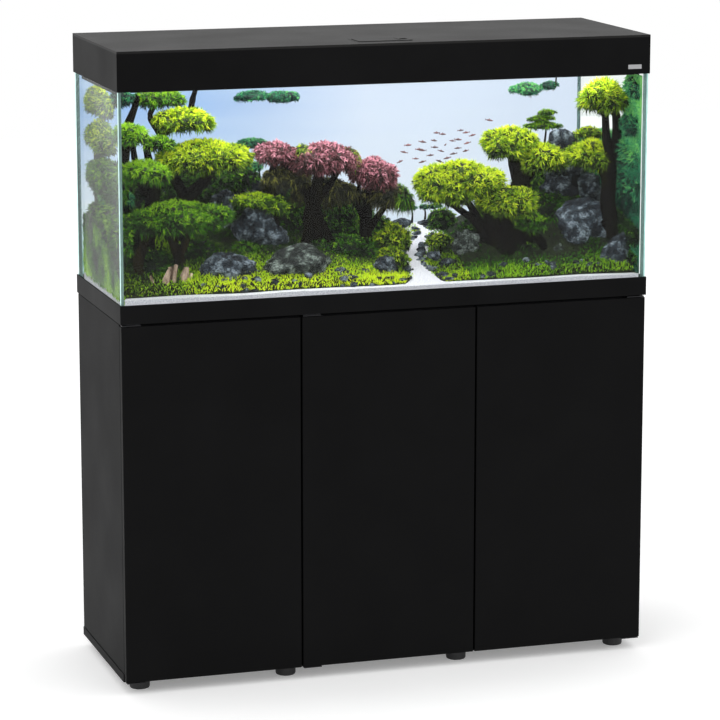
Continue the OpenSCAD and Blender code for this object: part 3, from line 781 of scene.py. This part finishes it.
wood("left_front_wood", "bark_brown", [
    ([(-0.445, -0.095, 0.885), (-0.448, -0.095, 0.95), (-0.475, -0.095, 1.02)], [0.016, 0.012, 0.009]),
    ([(-0.448, -0.095, 0.94), (-0.425, -0.09, 0.98), (-0.415, -0.09, 1.02)], [0.009, 0.007, 0.005]),
    ([(-0.535, -0.115, 0.885), (-0.540, -0.112, 0.94), (-0.520, -0.11, 1.01)], [0.014, 0.011, 0.008]),
])
wood("stump_wood", "stump", [
    ([(-0.500, -0.145, 0.885), (-0.490, -0.145, 0.908), (-0.478, -0.145, 0.934)], [0.010, 0.009, 0.004]),
    ([(-0.470, -0.145, 0.885), (-0.470, -0.145, 0.915), (-0.464, -0.145, 0.938)], [0.009, 0.008, 0.004]),
    ([(-0.450, -0.145, 0.885), (-0.448, -0.145, 0.910), (-0.442, -0.145, 0.932)], [0.009, 0.008, 0.004]),
    ([(-0.505, -0.148, 0.885), (-0.516, -0.148, 0.900), (-0.522, -0.148, 0.918)], [0.006, 0.004, 0.002]),
    ([(-0.436, -0.145, 0.885), (-0.436, -0.145, 0.900), (-0.430, -0.145, 0.918)], [0.007, 0.005, 0.003]),
])
wood("red_bush_wood", "bark", [
    ([(-0.110, -0.01, 0.90), (-0.112, -0.01, 0.97), (-0.106, -0.01, 1.05), (-0.095, -0.01, 1.12)],
     [0.042, 0.022, 0.016, 0.010]),
    ([(-0.108, -0.01, 1.03), (-0.140, -0.005, 1.08), (-0.185, 0.005, 1.13)], [0.012, 0.010, 0.006]),
    ([(-0.106, -0.01, 1.04), (-0.075, -0.01, 1.08), (-0.045, -0.01, 1.12)], [0.011, 0.008, 0.005]),
    ([(0.020, 0.0, 0.90), (0.012, 0.0, 0.97), (0.022, 0.0, 1.04), (0.028, 0.0, 1.09)],
     [0.026, 0.014, 0.009, 0.006]),
    ([(0.012, 0.0, 0.98), (-0.010, 0.0, 1.03), (-0.005, 0.0, 1.08)], [0.009, 0.006, 0.004]),
    ([(0.020, 0.0, 0.97), (0.050, 0.0, 1.01), (0.085, 0.0, 1.045)], [0.009, 0.006, 0.004]),
    ([(-0.200, 0.02, 0.98), (-0.205, 0.02, 1.05), (-0.195, 0.015, 1.13)], [0.018, 0.012, 0.007]),
    ([(-0.150, -0.03, 0.90), (-0.135, -0.03, 0.96), (-0.120, -0.02, 1.02)], [0.016, 0.010, 0.008]),
    ([(-0.070, -0.03, 0.90), (-0.085, -0.03, 0.95), (-0.100, -0.02, 1.00)], [0.016, 0.010, 0.008]),
])
wood("front_right_tree_wood", "bark", [
    ([(0.310, -0.07, 0.88), (0.305, -0.07, 0.93), (0.290, -0.07, 0.975)], [0.062, 0.044, 0.026]),
    ([(0.272, -0.07, 0.955), (0.235, -0.075, 0.995), (0.190, -0.075, 1.03), (0.148, -0.07, 1.052)],
     [0.013, 0.008, 0.006, 0.004]),
    ([(0.275, -0.07, 0.960), (0.250, -0.075, 1.01), (0.215, -0.075, 1.05), (0.185, -0.07, 1.08)],
     [0.012, 0.008, 0.006, 0.004]),
    ([(0.285, -0.07, 0.965), (0.268, -0.07, 1.02), (0.240, -0.07, 1.07)], [0.013, 0.009, 0.006]),
    ([(0.295, -0.07, 0.965), (0.292, -0.06, 1.03), (0.290, -0.05, 1.09)], [0.013, 0.010, 0.006]),
    ([(0.325, -0.07, 0.950), (0.330, -0.065, 1.00), (0.318, -0.05, 1.06)], [0.014, 0.010, 0.006]),
    ([(0.350, -0.08, 0.900), (0.365, -0.08, 0.95), (0.375, -0.08, 1.00)], [0.020, 0.012, 0.007]),
    ([(0.385, -0.11, 0.882), (0.400, -0.11, 0.93), (0.370, -0.09, 0.97)], [0.014, 0.009, 0.006]),
])
wood("rear_right_tree_wood", "bark", [
    ([(0.370, 0.02, 0.92), (0.385, 0.02, 1.00), (0.392, 0.02, 1.06), (0.378, 0.03, 1.12)],
     [0.034, 0.028, 0.022, 0.014]),
    ([(0.392, 0.02, 1.05), (0.415, 0.015, 1.08), (0.440, 0.01, 1.11)], [0.014, 0.010, 0.007]),
])
wood("tall_right_tree_wood", "bark", [
    ([(0.560, -0.09, 0.90), (0.568, -0.09, 0.99), (0.570, -0.09, 1.08), (0.568, -0.09, 1.13)],
     [0.028, 0.021, 0.019, 0.015]),
    ([(0.566, -0.09, 1.11), (0.552, -0.09, 1.16), (0.545, -0.09, 1.24)], [0.012, 0.009, 0.007]),
    ([(0.570, -0.09, 1.11), (0.576, -0.09, 1.18), (0.568, -0.09, 1.27)], [0.014, 0.011, 0.008]),
    ([(0.566, -0.09, 1.05), (0.548, -0.06, 1.09), (0.538, -0.045, 1.12)], [0.012, 0.008, 0.006]),
])

# ------------------------------------------------------------------ moss canopies

CANOPIES = [  # name, material, middle, half sizes, brightness (level of painted light), strand length
    ("left_top_canopy", "moss_deep", (-0.446, 0.040, 1.279), (0.048, 0.040, 0.022), 0.75, 0.012),
    ("left_corner_canopy", "moss_teal", (-0.530, 0.060, 1.278), (0.026, 0.030, 0.022), 0.30, 0.010),
    ("left_upper_canopy", "moss", (-0.408, 0.000, 1.234), (0.058, 0.046, 0.032), 0.72, 0.014),
    ("left_side_canopy", "moss_deep", (-0.545, -0.070, 1.215), (0.036, 0.045, 0.027), 0.85, 0.014),
    ("left_middle_sprig", "moss_deep", (-0.474, -0.040, 1.190), (0.032, 0.030, 0.018), 0.75, 0.012),
    ("left_large_canopy", "moss", (-0.372, -0.030, 1.156), (0.096, 0.062, 0.045), 0.76, 0.015),
    ("left_lower_canopy", "moss_deep", (-0.520, -0.085, 1.137), (0.054, 0.052, 0.028), 0.92, 0.015),
    ("left_front_canopy", "moss_deep", (-0.451, -0.100, 1.036), (0.114, 0.062, 0.041), 0.70, 0.015),
    ("left_back_foliage", "moss_teal", (-0.545, 0.060, 1.060), (0.035, 0.040, 0.030), 0.85, 0.010),
    ("rock_top_clump", "carpet", (-0.248, 0.000, 1.050), (0.056, 0.044, 0.016), 0.66, 0.010),
    ("rock_side_clump", "carpet", (-0.200, 0.000, 1.034), (0.028, 0.040, 0.020), 0.50, 0.010),
    ("middle_mound", "moss", (0.075, 0.010, 0.950), (0.040, 0.050, 0.040), 0.62, 0.010),
    ("middle_mound_low", "moss", (0.055, -0.060, 0.918), (0.030, 0.040, 0.024), 0.60, 0.010),
    ("small_lime_tree", "moss", (0.174, -0.040, 0.946), (0.027, 0.024, 0.018), 0.62, 0.008),
    ("behind_lime_tree", "moss_deep", (0.205, 0.030, 0.982), (0.030, 0.024, 0.030), 0.60, 0.008),
    ("front_right_canopy", "moss", (0.216, -0.060, 1.078), (0.092, 0.064, 0.060), 0.82, 0.015),
    ("front_right_skirt", "moss", (0.316, -0.078, 1.030), (0.056, 0.052, 0.044), 0.62, 0.015),
    ("front_right_edge", "moss_deep", (0.375, -0.085, 0.985), (0.034, 0.040, 0.026), 0.66, 0.013),
    ("rear_right_canopy", "moss", (0.370, 0.040, 1.150), (0.060, 0.052, 0.042), 0.76, 0.014),
    ("middle_right_canopy", "moss", (0.436, 0.005, 1.116), (0.052, 0.046, 0.038), 0.76, 0.014),
    ("far_right_cap", "moss", (0.552, 0.020, 1.166), (0.030, 0.030, 0.015), 0.60, 0.009),
    ("far_right_canopy", "moss", (0.538, -0.040, 1.126), (0.051, 0.056, 0.038), 0.78, 0.015),
    ("tall_right_canopy", "moss", (0.543, -0.090, 1.264), (0.046, 0.056, 0.042), 0.66, 0.020),
    ("distant_left_tree", "moss_teal", (-0.212, 0.130, 1.156), (0.046, 0.022, 0.016), 0.62, 0.006),
    ("distant_left_low", "moss_teal", (-0.240, 0.120, 1.105), (0.040, 0.022, 0.020), 0.70, 0.006),
    ("distant_pine_low", "moss_deep", (0.492, 0.150, 1.168), (0.046, 0.022, 0.012), 0.90, 0.006),
    ("distant_pine_mid", "moss_deep", (0.482, 0.150, 1.184), (0.034, 0.020, 0.009), 0.90, 0.006),
    ("distant_pine_top", "moss_deep", (0.500, 0.150, 1.198), (0.022, 0.018, 0.009), 0.95, 0.006),
    ("distant_tree_a", "moss_teal", (0.181, 0.180, 0.986), (0.013, 0.009, 0.007), 0.9, 0.004),
    ("distant_tree_b", "moss_teal", (0.213, 0.182, 0.986), (0.012, 0.009, 0.007), 0.95, 0.004),
    ("distant_tree_c", "moss_teal", (0.240, 0.178, 0.988), (0.016, 0.010, 0.009), 0.95, 0.004),
    ("surface_plants_left", "moss_teal", (-0.210, 0.120, 1.266), (0.044, 0.028, 0.014), 0.42, 0.006),
    ("surface_plants_middle", "moss_teal", (-0.148, 0.120, 1.260), (0.034, 0.028, 0.018), 0.45, 0.006),
    ("surface_plants_right", "moss_teal", (0.430, 0.100, 1.262), (0.040, 0.030, 0.018), 0.85, 0.006),
    ("surface_plants_far", "moss_teal", (0.490, 0.110, 1.266), (0.022, 0.024, 0.012), 0.45, 0.006),
    # Thickets: plant masses with a low brightness, painted nearly black as shade deep in the tank.
    ("thicket_left", "moss_deep", (-0.505, 0.100, 1.010), (0.085, 0.055, 0.110), 0.12, 0.013),
    ("thicket_left_middle", "moss_deep", (-0.385, 0.110, 1.000), (0.085, 0.050, 0.100), 0.10, 0.013),
    ("thicket_middle", "moss_deep", (-0.240, 0.060, 0.950), (0.090, 0.050, 0.070), 0.20, 0.013),
    ("thicket_under_bush", "moss_deep", (-0.085, 0.090, 0.990), (0.120, 0.055, 0.100), 0.16, 0.013),
    ("thicket_bush_front", "moss_deep", (-0.050, -0.020, 0.925), (0.090, 0.050, 0.050), 0.30, 0.011),
    ("thicket_middle_right", "moss_deep", (0.035, 0.060, 0.960), (0.050, 0.050, 0.050), 0.40, 0.012),
    ("thicket_right", "moss_deep", (0.320, 0.020, 0.940), (0.080, 0.060, 0.070), 0.14, 0.012),
    ("thicket_right_front", "moss_deep", (0.355, -0.070, 0.915), (0.080, 0.045, 0.035), 0.12, 0.012),
    ("thicket_far_right", "moss_deep", (0.460, 0.050, 0.970), (0.100, 0.060, 0.080), 0.18, 0.013),
    ("thicket_corner_right", "moss_deep", (0.520, -0.040, 0.920), (0.065, 0.080, 0.045), 0.14, 0.012),
    ("thicket_front_left", "moss_deep", (-0.510, -0.070, 0.925), (0.075, 0.050, 0.050), 0.10, 0.012),
    ("thicket_front_left_b", "moss_deep", (-0.395, -0.050, 0.935), (0.075, 0.050, 0.050), 0.16, 0.012),
    ("thicket_front_left_c", "moss_deep", (-0.285, -0.035, 0.930), (0.055, 0.045, 0.040), 0.30, 0.012),
    ("left_wall_plants_top", "moss", (-0.570, 0.115, 1.268), (0.016, 0.078, 0.042), 0.70, 0.012),
    ("left_wall_plants_high", "moss", (-0.570, 0.090, 1.190), (0.016, 0.105, 0.052), 0.60, 0.013),
    ("left_wall_plants_mid", "moss_deep", (-0.570, 0.050, 1.100), (0.016, 0.145, 0.060), 0.45, 0.013),
    ("left_wall_plants_low", "moss_deep", (-0.570, 0.015, 1.010), (0.016, 0.180, 0.065), 0.50, 0.013),
    ("left_wall_plants_foot", "moss", (-0.566, 0.000, 0.905), (0.016, 0.160, 0.030), 0.45, 0.011),
    ("right_wall_plants_top", "moss_teal", (0.584, -0.155, 1.290), (0.008, 0.040, 0.030), 0.95, 0.010),
    ("right_wall_plants_high", "moss_teal", (0.584, -0.150, 1.205), (0.008, 0.044, 0.030), 0.60, 0.011),
    ("right_wall_plants_mid", "moss_teal", (0.584, -0.030, 1.140), (0.008, 0.165, 0.045), 0.80, 0.012),
    ("right_wall_plants_low", "moss_teal", (0.584, -0.020, 1.060), (0.008, 0.170, 0.052), 0.45, 0.012),
    ("right_wall_plants_base", "moss_deep", (0.584, -0.020, 0.970), (0.008, 0.175, 0.052), 0.08, 0.012),
    ("right_wall_plants_foot", "moss_deep", (0.584, -0.010, 0.905), (0.008, 0.180, 0.032), 0.14, 0.010),
    # Gap foliage: dark plant masses whose low brightness is painted shade.
    ("left_gap_foliage", "moss_deep", (-0.290, 0.095, 1.090), (0.075, 0.034, 0.040), 0.36, 0.011),
    ("left_gap_low", "moss_deep", (-0.338, 0.060, 1.052), (0.042, 0.030, 0.036), 0.24, 0.011),
    ("left_gap_foot", "moss_deep", (-0.272, 0.050, 1.018), (0.044, 0.030, 0.032), 0.20, 0.011),
    ("left_gap_rear", "moss_deep", (-0.400, 0.130, 1.080), (0.078, 0.030, 0.034), 0.16, 0.011),
    ("left_gap_rear_low", "moss_deep", (-0.262, 0.130, 1.062), (0.042, 0.030, 0.028), 0.16, 0.011),
    ("right_gap_rear", "moss_deep", (0.455, 0.120, 1.050), (0.042, 0.030, 0.046), 0.42, 0.011),
]
FAR_LEAF = 0.0075  # plants with shorter leaves than this are far ones, drawn finer
for i, (name, key, c, r, bright, leaf) in enumerate(CANOPIES):
    b = Build()
    small = leaf < FAR_LEAF
    canopy(b, c, r, 100 + i, leaf=leaf, width=0.0014 if small else 0.0023, bright=bright,
           density=1.8 if small else 1.0, pads=4 if small else 7)
    stands_for(b.make(name, [key]), "moss_canopies")


def end_pane_cover(name, key, x, y_span, z_span, seed):
    """A thin wavy mat of plants that covers an end pane, painted brighter towards the top and painted dark as shade
    near the floor.
    """
    rows, cols = 70, 64
    share, gy = np.meshgrid(np.linspace(0, 1, rows), np.linspace(*y_span, cols), indexing="ij")
    top = np.interp(gy, [-0.13, -0.08, 0.0, 0.2], [z_span[1], 1.16, 1.13, 1.12])
    gz = z_span[0] + (top - z_span[0]) * share
    back = np.stack([np.full(gy.shape, x), gy, gz], -1).reshape(-1, 3)
    front = back - np.array([1, 0, 0]) * (0.004 + 0.003 * np.abs(waves(back, seed, 40, 3)))[:, None]

    def tint_and_shading_at(p):
        # Painted light and shade by height: near black low down, bright near the top; the waves are random tone.
        level = np.interp(p[:, 2], [0.87, 1.0, 1.06, 1.14, 1.3], [0.0, 0.04, 0.22, 0.62, 0.9])
        return level + 0.22 * waves(p, seed + 1, 26, 3)

    b = Build()
    quads = grid_faces(rows, cols, False)
    b.put(back, [quads], tint_and_shading_at(back))
    b.put(front, [quads[:, ::-1]], tint_and_shading_at(front))
    ring = list(range(cols)) + [r * cols + cols - 1 for r in range(1, rows)]
    ring += [(rows - 1) * cols + k for k in range(cols - 2, -1, -1)]
    ring += [r * cols for r in range(rows - 2, 0, -1)]
    for k, low in enumerate(ring):
        high = ring[(k + 1) % len(ring)]
        b.f.append([high, low, low + rows * cols, high + rows * cols])
        b.m.append(0)
    rng = np.random.default_rng(seed)
    pick = rng.integers(0, len(front), 9000)
    p = front[pick] + rng.normal(size=(len(pick), 3)) * [0, 0.003, 0.003]
    d = unit(rng.normal(size=p.shape) * [0.4, 1, 1] + [-0.5, 0, 0.2])
    tint_and_shading = np.clip(tint_and_shading_at(p) + rng.normal(size=len(p)) * 0.16, 0, 1.1)
    strands(b, p, d, rng.uniform(0.006, 0.013, len(p)), 0.0026, 0.2, tint_and_shading, rng)
    stands_for(b.make(name, [key]), "moss_canopies")


end_pane_cover("right_pane_mat", "moss_teal", 0.5925, (-0.197, 0.197), (0.872, 1.317), 61)

RED = [("red_bush_left", (-0.194, 0.010, 1.150), (0.044, 0.044, 0.033)),
       ("red_bush_middle", (-0.090, -0.010, 1.136), (0.076, 0.056, 0.046)),
       ("red_bush_right", (0.026, -0.010, 1.102), (0.046, 0.046, 0.040))]
for i, (name, c, r) in enumerate(RED):
    b = Build()
    canopy(b, c, r, 200 + i, leaf=0.013, width=0.0028, bright=0.66, density=0.95, droop=0.35, pads=8)
    stands_for(b.make(name, ["red"]), "red_bush")
OLIVE = [("olive_tuft_left", (-0.135, 0.0, 1.150), (0.022, 0.040, 0.022), "moss"),
         ("olive_tuft_right", (-0.028, 0.0, 1.140), (0.020, 0.040, 0.022), "moss"),
         ("olive_hanging_left", (-0.170, 0.015, 1.095), (0.050, 0.036, 0.036), "olive"),
         ("olive_hanging_middle", (-0.075, 0.015, 1.060), (0.070, 0.036, 0.040), "olive"),
         ("olive_hanging_right", (0.060, 0.010, 1.050), (0.050, 0.036, 0.040), "olive"),
         ("olive_edge_right", (0.095, 0.0, 1.040), (0.024, 0.034, 0.036), "moss_deep")]
for i, (name, c, r, key) in enumerate(OLIVE):
    b = Build()
    canopy(b, c, r, 220 + i, leaf=0.013, width=0.0019, bright=0.5, density=0.7, droop=0.9, pads=6)
    stands_for(b.make(name, [key]), "red_bush")

# ------------------------------------------------------------------ far trunks and fish

b = Build()
FAR_TRUNKS = [  # foot x, y, z and top x, z
    (-0.195, 0.130, 1.04, -0.205, 1.145), (-0.215, 0.130, 1.04, -0.225, 1.145),
    (0.181, 0.180, 0.95, 0.181, 0.982), (0.213, 0.182, 0.95, 0.213, 0.982),
    (0.237, 0.178, 0.95, 0.237, 0.982), (0.245, 0.178, 0.95, 0.245, 0.982),
    (0.495, 0.150, 1.12, 0.498, 1.188), (0.174, -0.040, 0.90, 0.174, 0.942),
    (0.500, 0.100, 1.262, 0.502, 1.300),
]
for i, (x0, y0, z0, x1, z1) in enumerate(FAR_TRUNKS):
    tube(b, [(x0, y0, z0), ((x0 + x1) / 2 + 0.002, y0, (z0 + z1) / 2), (x1, y0, z1)],
         [0.003, 0.002, 0.0015], seed=i, cols=7, steps=4)
stands_for(b.make("distant_trunks", ["bark_brown"]), "driftwood")

rng = np.random.default_rng(77)
b = Build()
FISH = 27
for i in range(FISH):
    a, q = i * 2.4, math.sqrt((i + 0.6) / FISH) * rng.uniform(0.88, 1.1)
    c = np.array([0.185 + 0.095 * q * math.cos(a), rng.uniform(-0.03, 0.03),
                  1.150 + 0.034 * q * math.sin(a) + 0.018 * q * math.cos(a)])
    if i == FISH - 1:
        c = np.array([0.305, 0.0, 1.205])
    yaw = rng.normal() * 0.35 + (math.pi if rng.uniform() < 0.6 else 0)
    pitch = rng.normal() * 0.18
    ln = rng.uniform(0.0066, 0.0085)
    turn = np.array(Euler((0, pitch, yaw)).to_matrix())
    p, quads, caps = ball(8, 9)
    body = p * [ln, ln * 0.16, ln * 0.26]
    body[:, 2] *= 1 - 0.25 * (body[:, 0] / ln)
    base = b.n
    b.put(body @ turn.T + c, [quads[:, ::-1]], 0.5)
    for cap in caps:
        b.f.append([base + k for k in cap[::-1]])
        b.m.append(0)
    tail = np.array([(-ln * 0.85, 0, 0), (-ln * 1.4, 0.0003, ln * 0.3), (-ln * 1.25, 0, 0),
                     (-ln * 1.4, -0.0003, -ln * 0.3), (ln * 0.2, 0, ln * 0.22),
                     (-ln * 0.25, 0.0002, ln * 0.5), (-ln * 0.3, -0.0002, ln * 0.18)])
    b.put(tail @ turn.T + c, [[(0, 1, 2), (0, 2, 3), (4, 5, 6)]], 0.5)
b.make("fish_school", ["fish"])

# ------------------------------------------------------------------ floor and light

floor = bpy.data.meshes.new("studio_floor")
floor.from_pydata([(-9, -9, 0), (9, -9, 0), (9, 9, 0), (-9, 9, 0)], [], [(0, 1, 2, 3)])
t = Tree("studio_floor_pale")
c = t.ramp(t.noise(3, 2), [(0.3, (0.93, 0.93, 0.93)), (0.7, (0.95, 0.95, 0.95))])
floor.materials.append(t.done(t.principled(
    c, 0.9, Specular_IOR_Level=0.1, Emission_Color=c, Emission_Strength=0.26)))
floor = bpy.data.objects.new("studio_floor", floor)
scene.collection.objects.link(floor)
floor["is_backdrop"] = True

world = bpy.data.worlds.new("studio")
world.use_nodes = True
world.node_tree.nodes["Background"].inputs[0].default_value = (1, 1, 1, 1)
world.node_tree.nodes["Background"].inputs[1].default_value = 1.0
scene.world = world


def area(name, at, turn, size, power):
    lamp = bpy.data.lights.new(name, "AREA")
    lamp.shape = "RECTANGLE"
    lamp.size, lamp.size_y = size
    lamp.energy = power
    ob = bpy.data.objects.new(name, lamp)
    ob.location = at
    ob.rotation_euler = Euler([math.radians(a) for a in turn])
    scene.collection.objects.link(ob)


area("tank_light_front", (0, -0.09, 1.318), (12, 0, 0), (1.12, 0.12), 3.4)
area("tank_light_rear", (0, 0.09, 1.318), (-4, 0, 0), (1.12, 0.12), 2)
area("key_left", (-3.2, -3.4, 3.4), (52, 0, -42), (2.5, 2.5), 26)

size = {"cad": [[float(v) for v in q] for q in cad_box], "visual": [[float(v) for v in q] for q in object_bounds()]}
